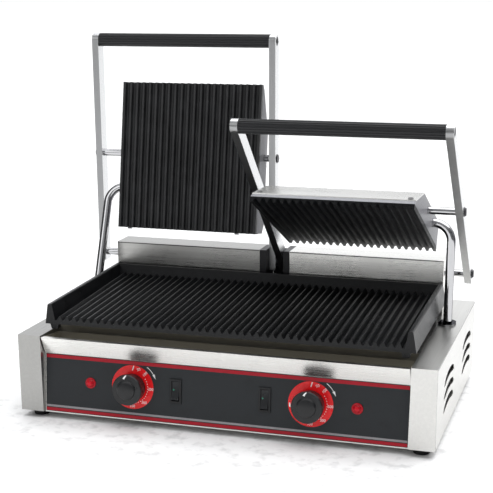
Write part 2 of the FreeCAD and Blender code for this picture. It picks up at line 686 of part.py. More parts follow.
def build_arm(name, side, row, outward):
    """A flat bar: square foot behind the hinge, round head at the grip, three cross holes."""
    x = f"{side} * {row}_arm"
    bar = centred_box("arm_gauge", "arm_length + arm_foot", "arm_width", x, "(arm_foot - arm_length) / 2",
                      "-arm_width / 2")
    head = rod("arm_width / 2", "arm_gauge", f"{x} - arm_gauge / 2", "-arm_length", 0, "x")
    start = f"{x} - arm_gauge"
    holes = [
        rod("shaft_radius + fit_gap", "2 * arm_gauge", start, 0, 0, "x"),
        rod("shaft_radius + fit_gap", "2 * arm_gauge", start, "-axle_reach", 0, "x"),
        rod("rod_radius + fit_gap", "2 * arm_gauge", start, "-arm_length", 0, "x"),
        rod("rod_radius + 2.4", "arm_gauge", f"{x} + {side * outward} * arm_gauge / 2 - arm_gauge / 2",
            "-arm_length", 0, "x")]
    part(on_arm(cut(fuse(bar, head), *holes), name), f"{name}_{row}_arm")


def span(side, inner, outer):
    """Where a crosswise rod starts, and its length, from the distances of its ends from the middle."""
    start = inner if side > 0 else f"-({outer})"
    return f"({outer}) - ({inner})", start


def build_arm_set(name, side):
    build_arm(name, side, "outer", 1)
    build_arm(name, side, "inner", -1)
    length, start = span(side, "inner_arm - arm_gauge / 2", "outer_arm + arm_gauge / 2")
    shaft = rod("shaft_radius", length, start, 0, 0, "x")
    part(on_arm(group(shaft), name), f"{name}_hinge_shaft")
    axle = rod("shaft_radius", length, start, "-axle_reach", 0, "x")
    part(on_arm(group(axle), name), f"{name}_plate_axle")
    part(on_arm(group(*shaft_caps(side)), name), f"{name}_shaft_caps")
    build_grip(name, side)


def shaft_caps(side):
    """Stepped caps on both ends of the hinge shaft and the plate axle."""
    caps = []
    for face, height, step, end in (("outer_arm", 2.8, 0.8, side), ("inner_arm", 1.8, 0.6, -side)):
        foot = f"{side} * {face} + {end} * arm_gauge / 2"
        for reach in ("0", "-axle_reach"):
            washer = rod("shaft_radius + 1.6", step, foot if end > 0 else f"{foot} - {step}", reach, 0, "x")
            cap = rod("shaft_radius + 0.4", height, foot if end > 0 else f"{foot} - {height}", reach, 0, "x")
            caps.append(fuse(washer, cap))
    return caps


def build_grip(name, side):
    """The fluted grip between the arms, and the socket screws that hold it from both ends."""
    inner = "inner_arm + arm_gauge / 2"
    outer = "outer_arm - arm_gauge / 2"
    length, start = span(side, inner, outer)
    handle = rod("grip_radius", length, start, "-arm_length", 0, "x")
    flutes = []
    for step in range(SIZES["flute_count"]):
        turn = f"{step} * 360 / flute_count"
        flutes.append(rod("flute_radius", f"{length} + 2", f"{start} - 1",
                          f"grip_radius * cos({turn}) - arm_length", f"grip_radius * sin({turn})", "x"))
    bore = rod("rod_radius + fit_gap", f"{length} + 2", f"{start} - 1", "-arm_length", 0, "x")
    part(on_arm(cut(handle, bore, *flutes), name), f"{name}_grip")
    screws = []
    for end, face in ((1, "outer_arm"), (-1, "inner_arm")):
        middle = f"{side} * {face}"
        outward = side * end
        head_face = f"{middle} + {outward} * (arm_gauge / 2 - 1.2)"
        head = rod("rod_radius + 2.2", "arm_gauge / 2 - 1.2", f"{middle}" if outward > 0 else head_face,
                   "-arm_length", 0, "x")
        shank_end = f"{middle} - {outward} * 35"
        shank = rod("rod_radius", 35, shank_end if outward > 0 else middle, "-arm_length", 0, "x")
        socket = rod(2.6, 6, f"{head_face} - 3", "-arm_length", 0, "x")
        screws.append(cut(fuse(head, shank), socket))
    part(on_arm(group(*screws), name), f"{name}_grip_screws")


def lid_point(ahead, height):
    """A corner of the lid's side view: ahead of the axle, and above the rib tips."""
    return f"-({ahead})", f"({height}) - axle_height"


LID_REAR = "-plate_rear"
LID_CENTRE = "(plate_inner + plate_outer) / 2"
LID_WIDTH = "plate_outer - plate_inner"

COVER_UNDERSIDE = [
    lid_point("plate_front - 6.5", "band_height - lid_sheet / cos(lid_slope)"),
    lid_point("slope_top", "lid_top - 1 - lid_sheet"),
    lid_point("rear_top", "lid_top - lid_sheet"),
    lid_point("lid_sheet - plate_rear", "lid_top - 9.2"),
    lid_point("lid_sheet - plate_rear", "band_height"),
]


def build_upper_plate(name, side):
    """The ribbed casting: a flange below, a rebated back that sits inside the lid's frame."""
    body = new_body(f"{name}_upper_plate")
    profile = new_sketch(body, "YZ_Plane")
    outline(profile, [
        lid_point("plate_front", 0), lid_point("plate_front", "plate_edge"),
        lid_point("plate_front - 9.5", "plate_edge"), lid_point("plate_front - 9.5", "plate_gauge"),
        lid_point("5 - plate_rear", "plate_gauge"), lid_point("5 - plate_rear", "plate_edge"),
        lid_point(LID_REAR, "plate_edge"), lid_point(LID_REAR, 0)])
    pad(body, profile, LID_WIDTH, midplane=True)
    for end in (-1, 1):
        rebate = new_sketch(body, "XZ_Plane")
        inner = f"{end} * (({LID_WIDTH}) / 2 - cheek_gauge - 0.3)"
        outer = f"{end} * (({LID_WIDTH}) / 2 + 2)"
        low = "plate_edge - axle_height"
        high = "plate_gauge + 2 - axle_height"
        outline(rebate, [(inner, low), (outer, low), (outer, high), (inner, high)])
        pocket(body, rebate)
    groove = new_sketch(body, "XZ_Plane")
    first = "-(upper_grooves - 1) * upper_pitch / 2"
    flank = [(3.8, -1), (3.7, 0), (3.2, 0.5), (3, 1.3), (2.6, 3.1), (1.6, 4.3)]
    arch = [*flank, (0, "groove_depth"), *[(-across, height) for across, height in reversed(flank)]]
    outline(groove, [(f"{first} + {across}", f"{height} - axle_height") for across, height in arch])
    furrow = pocket(body, groove)
    pattern(body, furrow, groove, "H_Axis", "(upper_grooves - 1) * upper_pitch", "upper_grooves")
    on_lid(body, name, f"{side} * {LID_CENTRE}")


def cover_screw(x):
    """A pan-head screw square to the lid's sloping front."""
    item = fuse(rod("lid_screw * 2", 1.6), rod("lid_screw", 5, 0, 0, "-4"))
    ahead = "plate_front - 13"
    rise = "band_height + 6.5 * tan(lid_slope)"
    y, z = lid_point(ahead, rise)
    return place(item, x, y, z, Vector(1, 0, 0), "lid_slope")


def edge_screw(x):
    """A pan-head screw in the lid's rear edge."""
    y, z = lid_point(LID_REAR, "(plate_edge + band_height) / 2")
    return fuse(rod("lid_screw * 2", 2.2, x, y, z, "y"), rod("lid_screw", 4, x, f"{y} - 3.8", z, "y"))


def build_upper_frame(name, side):
    """The cast surround: two cheeks that turn on the axle, a front bar and a rear wall."""
    body = new_body(f"{name}_frame_casting", finished=False)
    profile = new_sketch(body, "YZ_Plane")
    outline(profile, [
        lid_point("plate_front", "plate_edge"), *COVER_UNDERSIDE, lid_point(LID_REAR, "band_height"),
        lid_point(LID_REAR, "plate_edge")])
    pad(body, profile, LID_WIDTH, midplane=True)
    hollow = new_sketch(body, "YZ_Plane")
    outline(hollow, [
        lid_point("plate_front - 9.2", 2), lid_point("plate_front - 9.2", "plate_gauge + 0.3"),
        lid_point("plate_front - 20", "plate_gauge + 0.3"), lid_point("plate_front - 20", 60),
        lid_point("4.5 - plate_rear", 60), lid_point("4.5 - plate_rear", 2)])
    room = pocket(body, hollow)
    room.Type = "Length"
    bind(room, Length=f"{LID_WIDTH} - 2 * cheek_gauge")
    axle_bore = new_sketch(body, "YZ_Plane")
    circle(axle_bore, "shaft_radius + running_gap")
    pocket(body, axle_bore)
    pivot_bore = new_sketch(body, "YZ_Plane", f"{side} * ({LID_WIDTH}) / 2")
    circle(pivot_bore, "tube_radius + running_gap", "tube_root_back", "-tube_root_drop")
    pivot = pocket(body, pivot_bore)
    pivot.Type = "Length"
    bind(pivot, Length="4 * cheek_gauge")
    screws = [cover_screw(f"{end} * (({LID_WIDTH}) / 2 - 8)") for end in (-1, 1)]
    screws += [edge_screw(f"{side} * ({offset})") for offset in (92.5, -76)]
    part(on_lid(cut(body, *screws), name, f"{side} * {LID_CENTRE}"), f"{name}_upper_frame")
    part(on_lid(group(*screws), name, f"{side} * {LID_CENTRE}"), f"{name}_cover_screws")
    build_upper_cover(name, side, screws)


def build_upper_cover(name, side, screws):
    body = new_body(f"{name}_cover_sheet", finished=False)
    section = new_sketch(body, "YZ_Plane")
    outline(section, [
        COVER_UNDERSIDE[0], lid_point("plate_front - 6.5", "band_height"),
        lid_point("slope_top", "lid_top - 1"),
        lid_point("rear_top", "lid_top"), lid_point(LID_REAR, "lid_top - 8.5"),
        lid_point(LID_REAR, "band_height"), *reversed(COVER_UNDERSIDE[1:])])
    pad(body, section, LID_WIDTH, midplane=True)
    part(on_lid(cut(body, *screws), name, f"{side} * {LID_CENTRE}"), f"{name}_upper_cover")


def build_upper_element(name, side):
    element = hairpin(140, "plate_gauge + element_radius + 0.2 - axle_height", "-72", 80)
    part(on_lid(element, name, f"{side} * {LID_CENTRE}"), f"{name}_upper_element")


# --- wire tubes ---------------------------------------------------------------------------------

def tube_solid(radius, side, excess):
    """Stub out of the lid's side, quarter bend, and the leg that slides through the ferrule."""
    stub_start = "plate_outer - 9"
    corner = "tube_x - tube_bend"
    length, start = span(side, f"{stub_start} - {excess}", corner)
    stub = rod(radius, length, start, 0, 0, "x")
    bend = bind(doc.addObject("Part::Torus", "Bend"), Radius1="tube_bend", Radius2=radius)
    bend.Angle3 = 90
    turn = Rotation(Vector(1, 0, 0), 90) if side > 0 else Rotation(Vector(0, 1, 1), 180)
    bend.Placement = Placement(Vector(), turn)
    bind(bend, **{"Placement.Base.x": f"{side} * ({corner})", "Placement.Base.z": "-tube_bend"})
    leg = rod(radius, f"tube_leg - tube_bend + {excess}", f"{side} * tube_x", 0, f"-tube_leg - {excess}")
    return fuse(stub, bend, leg)


def build_wire_tube(name, side):
    """The steel tube that carries the lid's wires down into the body."""
    tube = cut(tube_solid("tube_radius", side, 0), tube_solid("tube_bore", side, 1))
    angle, tilt = f"{name}_arm_angle", f"{name}_plate_tilt"
    back, drop = "tube_root_back", "tube_root_drop"
    y = f"hinge_y - axle_reach * cos({angle}) + {back} * cos({tilt}) - {drop} * sin({tilt})"
    z = f"hinge_z + axle_reach * sin({angle}) - {back} * sin({tilt}) - {drop} * cos({tilt})"
    place(tube, 0, y, z, Vector(-1, 0, 0), f"{name}_tube_lean")
    part(tube, f"{name}_wire_tube")


def build_ferrule(name, side):
    """The slotted collar that guides a wire tube through the cover's top."""
    x = f"{side} * tube_x"
    flange = common(slot_tool(x, 10), centred_box(60, 60, 2.6, x, "ferrule_y", BODY_TOP))
    neck = common(slot_tool(x, 2), centred_box(60, 60, 6, x, "ferrule_y", f"{BODY_TOP} - 5"))
    part(cut(fuse(flange, neck), slot_tool(x, 0)), f"{name}_tube_ferrule")


# --- underside and rear -------------------------------------------------------------------------

def build_feet():
    feet = []
    for x, y in foot_places():
        pad_solid = cone("foot_radius - 2", "foot_radius", "foot_height", x, y)
        stud = rod("foot_hole / 2", 5, x, y, "foot_height - 1")
        feet.append(fuse(pad_solid, stud))
    part(group(*feet), "feet")


def build_cable_gland():
    """Screwed gland in the rear panel: locknut inside, hexagon and domed nut outside."""
    hexagon = bind(doc.addObject("Part::Prism", "Hexagon"), Circumradius="gland_hole / 2 + 3.5", Height=5)
    place(hexagon, "gland_x", "body_depth / 2 + 5", "gland_z", Vector(1, 0, 0), 90)
    neck = rod("gland_hole / 2 - 2 * fit_gap", 16, "gland_x", "body_depth / 2 - 10", "gland_z", "y")
    locknut = rod("gland_hole / 2 + 3", 4, "gland_x", "body_depth / 2 - sheet_gauge - 4", "gland_z", "y")
    dome = cone("gland_hole / 2 + 1.5", "gland_hole / 2 - 2", "gland_reach - 5", "gland_x",
                "body_depth / 2 + 5", "gland_z", "y")
    bore = rod("gland_hole / 2 - 3.5", 40, "gland_x", "body_depth / 2 - 15", "gland_z", "y")
    part(cut(fuse(hexagon, neck, locknut, dome), bore), "cable_gland")


def build_all():
    build_base_pan()
    build_rear_panel()
    build_top_deck()
    build_control_panel()
    build_fascia_overlay()
    build_dial_plates()
    build_drip_tray()
    build_griddle()
    build_griddle_heating()
    build_end_caps()
    build_bearings()
    build_springs()
    build_feet()
    build_cable_gland()
    for name, side in SIDES.items():
        build_side_cover(name, side)
        build_indicator_lamp(name, side)
        build_switch(name, side)
        build_thermostat(name, side)
        build_hinge_housing(name, side)
        build_ferrule(name, side)
        build_arm_set(name, side)
        build_upper_plate(name, side)
        build_upper_frame(name, side)
        build_upper_element(name, side)
        build_wire_tube(name, side)


def check_and_export():
    """Stop on a broken feature or solid; otherwise write one file for each sub-part."""
    for item in doc.Objects:
        faults = [state for state in item.State if state in ("Invalid", "Error")]
        if faults:
            raise RuntimeError(f"{item.Name} ({item.Label}): {faults}")
    os.makedirs("parts", exist_ok=True)
    for item in parts:
        shape = item.Shape
        if shape.isNull() or not shape.isValid() or not shape.Solids:
            raise RuntimeError(f"{item.Label}: no valid solid")
        shape.exportStep(os.path.join("parts", item.Label + ".step"))
        print(f"{item.Label}: {len(shape.Solids)} solid(s), {shape.Volume / 1000:.2f} cm3")


build_all()
doc.recompute()
check_and_export()
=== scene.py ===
import json
import math

import bmesh
import bpy
from mathutils import Matrix, Vector


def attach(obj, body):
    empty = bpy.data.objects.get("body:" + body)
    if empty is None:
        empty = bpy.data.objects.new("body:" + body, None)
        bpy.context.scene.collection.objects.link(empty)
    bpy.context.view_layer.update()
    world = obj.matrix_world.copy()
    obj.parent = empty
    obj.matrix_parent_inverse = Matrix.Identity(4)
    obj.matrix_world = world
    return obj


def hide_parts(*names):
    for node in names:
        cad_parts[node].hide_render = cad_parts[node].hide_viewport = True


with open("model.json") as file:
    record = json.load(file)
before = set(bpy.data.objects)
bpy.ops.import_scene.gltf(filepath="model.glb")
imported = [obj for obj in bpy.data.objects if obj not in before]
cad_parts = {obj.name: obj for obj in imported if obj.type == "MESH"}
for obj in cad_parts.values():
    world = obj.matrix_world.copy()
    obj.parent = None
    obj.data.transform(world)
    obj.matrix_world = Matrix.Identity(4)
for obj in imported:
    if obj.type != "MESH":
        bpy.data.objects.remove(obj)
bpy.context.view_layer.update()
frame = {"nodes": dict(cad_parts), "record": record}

MM = 0.001
SIDES = {"left": -1, "right": 1}
record = frame["record"]
BODY_OF = {node: body for body, nodes in record["behaviour"]["bodies"].items() for node in nodes}


# --- materials ----------------------------------------------------------------------------------

class Finish:
    """A procedural material: a principled shader and the nodes that feed it."""

    def __init__(self, name, **constants):
        self.material = bpy.data.materials.new(name)
        self.material.use_nodes = True
        self.tree = self.material.node_tree
        self.shader = self.tree.nodes["Principled BSDF"]
        for socket, value in constants.items():
            self.shader.inputs[socket.replace("_", " ")].default_value = value
        self.place = self.node("ShaderNodeTexCoord").outputs["Object"]

    def node(self, kind, inputs=None, **settings):
        item = self.tree.nodes.new(kind)
        for key, value in settings.items():
            setattr(item, key, value)
        for key, value in (inputs or {}).items():
            if isinstance(value, bpy.types.NodeSocket):
                self.tree.links.new(value, item.inputs[key])
            else:
                item.inputs[key].default_value = value
        return item

    def stretched(self, scale, turn=0.0):
        """Coordinates scaled per axis after a turn about X."""
        turned = self.node("ShaderNodeMapping", {"Vector": self.place, "Rotation": (turn, 0, 0)})
        item = self.node("ShaderNodeMapping", {"Vector": turned.outputs[0], "Scale": scale})
        return item.outputs[0]

    def noise(self, scale, detail=3.0, roughness=0.6, vector=None):
        item = self.node("ShaderNodeTexNoise", {
            "Vector": vector or self.place, "Scale": scale, "Detail": detail,
            "Roughness": roughness})
        return item.outputs["Fac"]

    def cells(self, scale):
        item = self.node("ShaderNodeTexVoronoi", {
            "Vector": self.place, "Scale": scale, "Randomness": 1.0})
        return item.outputs["Distance"]

    def span(self, value, low, high, start=0.3, end=0.7):
        item = self.node("ShaderNodeMapRange", {
            "Value": value, "From Min": start, "From Max": end, "To Min": low, "To Max": high})
        return item.outputs[0]

    def ramp(self, value, *stops):
        item = self.node("ShaderNodeValToRGB", {"Fac": value})
        elements = item.color_ramp.elements
        while len(elements) < len(stops):
            elements.new(0.5)
        for element, (position, color) in zip(elements, stops):
            element.position = position
            element.color = (*color, 1.0)
        return item.outputs["Color"]

    def total(self, first, second, share=1.0):
        scaled = self.node("ShaderNodeMath", {0: second, 1: share}, operation="MULTIPLY").outputs[0]
        return self.node("ShaderNodeMath", {0: first, 1: scaled}, operation="ADD").outputs[0]

    def feed(self, socket, value):
        self.tree.links.new(value, self.shader.inputs[socket])
        return self

    def bump(self, height, distance, strength=1.0):
        item = self.node("ShaderNodeBump", {
            "Height": height, "Distance": distance, "Strength": strength})
        return self.feed("Normal", item.outputs[0])


def shade(color, factor):
    return tuple(min(1.0, channel * factor) for channel in color)


def brushed(name, color, rough, frequency, turn=0.0, metallic=1.0):
    """Brushed metal: fine scratches along one axis, broad faint streaks and smudges."""
    finish = Finish(name, Metallic=metallic)
    lines = finish.noise(1.0, 4.0, 0.7, finish.stretched(frequency, turn))
    broad = tuple(value * 0.12 for value in frequency)
    streaks = finish.noise(1.0, 2.0, 0.5, finish.stretched(broad, turn))
    smudges = finish.noise(14.0, 3.0)
    grain = finish.total(lines, streaks, 0.6)
    finish.feed("Base Color", finish.ramp(
        grain, (0.45, shade(color, 0.93)), (0.8, color), (1.0, shade(color, 1.06))))
    finish.feed("Roughness", finish.span(
        finish.total(lines, smudges, 0.7), rough * 0.8, rough * 1.25, 0.5, 1.1))
    return finish.bump(grain, 0.00003).material


def cast(name, color, gloss, rough, grain=1100.0):
    """Enamelled casting: pebbled skin, patchy gloss, faint bloom from use."""
    finish = Finish(name, Specular_IOR_Level=gloss)
    fine = finish.noise(grain, 3.0, 0.65)
    patch = finish.noise(38.0, 4.0)
    finish.feed("Base Color", finish.ramp(
        finish.total(fine, patch, 0.8),
        (0.6, shade(color, 0.7)), (0.9, color), (1.15, shade(color, 1.7))))
    finish.feed("Roughness", finish.span(
        finish.total(fine, patch, 1.0), rough, rough * 1.6, 0.7, 1.3))
    return finish.bump(finish.total(fine, finish.cells(grain * 0.4), 0.5), 0.0002, 0.6).material


def hammered(name, light, dark):
    """Hammer-finish paint: bright flat flakes between darker dimple edges."""
    finish = Finish(name, Metallic=0.3)
    flakes = finish.cells(900.0)
    mottle = finish.noise(520.0, 3.0)
    value = finish.total(flakes, mottle, 0.8)
    finish.feed("Base Color", finish.ramp(
        value, (0.45, dark), (0.62, shade(light, 0.8)), (0.85, light)))
    finish.feed("Roughness", finish.span(mottle, 0.34, 0.5))
    return finish.bump(value, 0.00018, 0.7).material


def moulded(name, color, rough, grain=1600.0, relief=0.00004, **constants):
    """Moulded or painted skin: a fine texture, and gloss that varies a little."""
    finish = Finish(name, **constants)
    fine = finish.noise(grain, 2.0)
    patch = finish.noise(45.0, 3.0)
    finish.feed("Base Color", finish.ramp(
        finish.total(fine, patch, 1.0), (0.7, shade(color, 0.88)), (1.3, shade(color, 1.12))))
    finish.feed("Roughness", finish.span(patch, rough * 0.85, rough * 1.18))
    return finish.bump(fine, relief, 0.6).material


def polished(name, color, rough):
    """Plating: mirror-like, with painted dark reflection where it turns edge-on, and faint smears.
    """
    # The near-black edge tint paints dark reflections on the plating where its surface is seen
    # edge-on.
    finish = Finish(name, Metallic=1.0, Specular_Tint=(0.04, 0.04, 0.045, 1.0))
    smears = finish.noise(30.0, 4.0)
    finish.feed("Base Color", finish.ramp(smears, (0.3, shade(color, 0.93)), (0.7, color)))
    finish.feed("Roughness", finish.span(smears, rough * 0.6, rough * 1.8))
    return finish.bump(finish.noise(400.0, 2.0), 0.00001, 0.4).material


STEEL = (0.7, 0.695, 0.672)
ALLOY = (0.66, 0.665, 0.67)
SCRATCHES = 2200.0
ALONG_X = (7.0, SCRATCHES, SCRATCHES)
ALONG_Y = (SCRATCHES, 7.0, SCRATCHES)
ARM_ALONG_Y = (SCRATCHES, 9.0, SCRATCHES)
ARM_ALONG_Z = (SCRATCHES, SCRATCHES, 9.0)
RIGHT_ARM_TURN = math.radians(45)

steel_x = brushed("stainless_across", STEEL, 0.27, ALONG_X)
# Painted light: the tray is the same stainless as the rest, given a lighter copy for the bright
# reflection on its lip.
steel_tray = brushed("stainless_tray_painted_light", shade(STEEL, 1.25), 0.25, ALONG_X)
# Painted shade: both side covers are the same stainless; each gets a darker copy for how the light
# falls on it, the left much darker than the right.
steel_left = brushed("stainless_left_cover_painted_shade", shade(STEEL, 0.53), 0.3, ALONG_Y)
steel_right = brushed("stainless_right_cover_painted_shade", shade(STEEL, 0.95), 0.3, ALONG_Y)
# Painted light and shade: both hinge housings are the same stainless; the left gets a darker copy
# and the right a lighter one for how the light falls on them.
steel_housing = {
    "left": brushed("stainless_left_housing_painted_shade", shade(STEEL, 0.62), 0.27, ALONG_X),
    "right": brushed("stainless_right_housing_painted_light", shade(STEEL, 1.25), 0.27, ALONG_X)}
# Painted shade and painted reflection: a dark olive copy of the stainless for the deck's apron and
# the tray's inner faces, which stand in shade and reflect the dark griddle.
steel_painted_shade = brushed("stainless_painted_shade", (0.4, 0.375, 0.315), 0.5, ALONG_X, metallic=0.4)
arm_left = brushed("brushed_arm_upright", ALLOY, 0.24, ARM_ALONG_Z)
arm_right = brushed("brushed_arm_leaning", ALLOY, 0.24, ARM_ALONG_Y, RIGHT_ARM_TURN)
# Painted shade: the arms are one brushed alloy; this darker copy paints the shade on their front
# edges.
arm_front_shade = brushed("brushed_arm_painted_shade", shade(ALLOY, 0.5), 0.3, ARM_ALONG_Z)
# Painted light and shade: both lid plates are the same black iron; the left copy is lighter and
# glossier and the right darker and duller, for how the light falls on each.
iron = {"left": cast("black_iron_painted_light", (0.011, 0.0113, 0.012), 0.5, 0.3),
        "right": cast("black_iron_painted_shade", (0.005, 0.0053, 0.006), 0.16, 0.36)}
iron_griddle = cast("black_griddle_iron", (0.006, 0.0063, 0.007), 0.28, 0.25)
speckle = hammered("hammered_grey_paint", (0.35, 0.355, 0.38), (0.09, 0.09, 0.1))
# Painted shade: the cheeks are the same hammered casting as the band; this darker copy paints the
# shade on the lid ends.
speckle_shade = hammered("hammered_grey_cheek_painted_shade", (0.2, 0.2, 0.215), (0.045, 0.045, 0.05))
chrome = polished("bright_chrome", (0.54, 0.54, 0.55), 0.06)
charcoal = moulded(
    "charcoal_overlay", (0.022, 0.0245, 0.027), 0.4, 2600.0, 0.00001, Specular_IOR_Level=0.22)
end_black = moulded("black_end_cap", (0.014, 0.014, 0.016), 0.36, Specular_IOR_Level=0.35)
bakelite = moulded("black_bakelite", (0.012, 0.0125, 0.0135), 0.3, Specular_IOR_Level=0.38)
grip_black = moulded("black_grip", (0.014, 0.0145, 0.016), 0.4, 900.0, Specular_IOR_Level=0.35)
nylon = moulded("black_nylon", (0.012, 0.0125, 0.0135), 0.42, 1300.0, Specular_IOR_Level=0.3)
rocker_black = moulded("black_rocker", (0.014, 0.015, 0.0165), 0.28, Specular_IOR_Level=0.35)
rubber = moulded("foot_rubber", (0.01, 0.01, 0.011), 0.7, 700.0, 0.0001, Specular_IOR_Level=0.3)
stripe_red = moulded(
    "stripe_red", (0.36, 0.006, 0.017), 0.36, 2600.0, 0.00001, Specular_IOR_Level=0.25)
stripe_grey = moulded(
    "stripe_grey", (0.27, 0.26, 0.27), 0.36, 2600.0, 0.00001, Specular_IOR_Level=0.3)
dial_red = moulded(
    "dial_red", (0.78, 0.009, 0.012), 0.26, 2600.0, 0.00001, Specular_IOR_Level=0.35)
print_white = moulded("print_white", (0.82, 0.82, 0.82), 0.4, 2600.0, 0.00001)
lamp_red = moulded(
    "lamp_red", (0.4, 0.004, 0.012), 0.2, 500.0, 0.00003, Specular_IOR_Level=0.25)
lamp_glow = moulded(
    "lamp_core", (0.55, 0.006, 0.018), 0.25, 500.0, 0.00003, Specular_IOR_Level=0.25)
led_green = moulded("led_green", (0.01, 0.17, 0.1), 0.2, 900.0, 0.00001, Coat_Weight=0.3)
sheath = moulded("element_sheath", (0.16, 0.15, 0.13), 0.5, 700.0, 0.00004, Metallic=0.8)
zinc = moulded("zinc_plate", (0.42, 0.43, 0.43), 0.36, 300.0, 0.00002, Metallic=0.9)
bronze = moulded("sintered_bronze", (0.42, 0.27, 0.12), 0.44, 1200.0, 0.00005, Metallic=0.9)
spring_blue = moulded("oil_tempered_wire", (0.12, 0.12, 0.13), 0.34, 600.0, 0.00002, Metallic=0.9)
black_steel = moulded("blackened_steel", (0.045, 0.045, 0.048), 0.34, 900.0, 0.00003, Metallic=0.7)


# --- geometry -----------------------------------------------------------------------------------

def finish_mesh(mesh, sharp=32.0):
    """Smooth shading in which the large flat faces keep their own normals and only bevels blend."""
    mesh.shade_smooth()
    mesh.set_sharp_from_angle(angle=math.radians(sharp))
    around = [[] for _ in mesh.vertices]
    for face in mesh.polygons:
        for vertex in face.vertices:
            around[vertex].append(face)
    limit = math.cos(math.radians(sharp))
    normals = []
    for face in mesh.polygons:
        for vertex in face.vertices:
            blend = Vector((0.0, 0.0, 0.0))
            for other in around[vertex]:
                if face.normal.dot(other.normal) >= limit:
                    blend += other.normal * other.area
            normals.append(blend.normalized() if blend.length > 0 else face.normal.copy())
    mesh.normals_split_custom_set(normals)


def piece(name, bm, body, material):
    """A new mesh piece, made in the row frame, that rides on a body."""
    bmesh.ops.recalc_face_normals(bm, faces=bm.faces)
    mesh = bpy.data.meshes.new(name)
    bm.to_mesh(mesh)
    bm.free()
    finish_mesh(mesh)
    mesh.materials.append(material)
    item = bpy.data.objects.new(name, mesh)
    bpy.context.scene.collection.objects.link(item)
    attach(item, body)
    return item


def refined(node, width, material, segments=2, sharp=35.0, extra=None, choose=None, merge=True):
    """The CAD node's own shape with its edges rounded; faces that choose() picks take extra.

    The rounding is clamped by the shortest edge, so it can be far smaller than width. With merge,
    flat triangles are joined first.
    """
    bm = bmesh.new()
    bm.from_mesh(frame["nodes"][node].data)
    bmesh.ops.remove_doubles(bm, verts=bm.verts, dist=2e-6)
    if merge:
        bmesh.ops.dissolve_limit(bm, angle_limit=math.radians(0.6), verts=bm.verts, edges=bm.edges)
    if extra is not None:
        for face in bm.faces:
            face.material_index = int(choose(face))
    edges = [
        edge for edge in bm.edges
        if len(edge.link_faces) == 2 and edge.calc_face_angle(0.0) > math.radians(sharp)]
    bmesh.ops.bevel(
        bm, geom=edges, offset=width, offset_type="OFFSET", segments=segments, profile=0.5,
        affect="EDGES", clamp_overlap=True, miter_outer="ARC", loop_slide=True)
    item = piece(node + "_finished", bm, BODY_OF[node], material)
    if extra is not None:
        item.data.materials.append(extra)
    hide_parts(node)
    return item


PANEL_LEAN = math.radians(6)
PANEL_PLACE = (
    Matrix.Translation((0, -171 * MM, 10 * MM)) @ Matrix.Rotation(-PANEL_LEAN, 4, "X"))


def panel_piece(name, bm, body, material):
    """A piece made with the panel upright, its face at Y 0 and its foot at Z 0."""
    bm.transform(PANEL_PLACE)
    return piece(name, bm, body, material)


def paint(node, material):
    """Give a CAD node that keeps its shape a finished material."""
    mesh = frame["nodes"][node].data
    mesh.materials.clear()
    mesh.materials.append(material)


def slab(bm, low, high):
    """A box between two corners, added to a mesh."""
    size = Vector(high) - Vector(low)
    middle = (Vector(high) + Vector(low)) / 2
    for vert in bmesh.ops.create_cube(bm, size=1.0)["verts"]:
        vert.co = Vector(a * b for a, b in zip(vert.co, size)) + middle


def turned(bm, profile, centre, steps=48):
    """A solid of revolution about Y from (radius, distance along Y) pairs."""
    def turn(radius, distance, angle):
        return Vector((radius * math.sin(angle), distance, radius * math.cos(angle)))

    rings = []
    for radius, distance in profile:
        if radius < 1e-7:
            rings.append([bm.verts.new(Vector(centre) + turn(0, distance, 0))])
        else:
            rings.append([
                bm.verts.new(Vector(centre) + turn(radius, distance, 2 * math.pi * k / steps))
                for k in range(steps)])
    for first, second in zip(rings, rings[1:]):
        for k in range(steps):
            corners = [first[k % len(first)], first[(k + 1) % len(first)],
                       second[(k + 1) % len(second)], second[k % len(second)]]
            unique = list(dict.fromkeys(corners))
            if len(unique) > 2:
                bm.faces.new(unique)


def ribbon(bm, path, width, low, high):
    """A flat printed line along points (x, z), between two Y levels; width may vary by point."""
    left, right = [], []
    for index, point in enumerate(path):
        before = path[max(index - 1, 0)]
        after = path[min(index + 1, len(path) - 1)]
        run = Vector((after[0] - before[0], after[1] - before[1])).normalized()
        half = (width[index] if isinstance(width, list) else width) / 2
        left.append((point[0] - run.y * half, point[1] + run.x * half))
        right.append((point[0] + run.y * half, point[1] - run.x * half))
    outline = left + right[::-1]
    front = [bm.verts.new((x, low, z)) for x, z in outline]
    back = [bm.verts.new((x, high, z)) for x, z in outline]
    count = len(path)
    for k in range(count - 1):
        quad = (k, k + 1, 2 * count - 2 - k, 2 * count - 1 - k)
        bm.faces.new([front[i] for i in quad])
        bm.faces.new([back[i] for i in reversed(quad)])
    for k in range(2 * count):
        following = (k + 1) % (2 * count)
        bm.faces.new([front[following], front[k], back[k], back[following]])


def digits(bm, text, size, centre, turn, low, high):
    """Printed digits facing forwards, turned about their middle."""
    curve = bpy.data.curves.new("digits", "FONT")
    curve.body = text
    curve.size = size
    curve.align_x = "CENTER"
    curve.align_y = "CENTER"
    curve.extrude = (high - low) / 2
    curve.resolution_u = 3
    holder = bpy.data.objects.new("digits", curve)
    bpy.context.scene.collection.objects.link(holder)
    bpy.context.view_layer.update()
    evaluated = holder.evaluated_get(bpy.context.evaluated_depsgraph_get())
    mesh = bpy.data.meshes.new_from_object(evaluated)
    mesh.transform(
        Matrix.Translation((centre[0], (low + high) / 2, centre[1]))
        @ Matrix.Rotation(-turn, 4, "Y") @ Matrix.Rotation(math.radians(90), 4, "X"))
    bm.from_mesh(mesh)
    bpy.data.objects.remove(holder)
    bpy.data.curves.remove(curve)
    bpy.data.meshes.remove(mesh)


# --- finished CAD shapes ------------------------------------------------------------------------

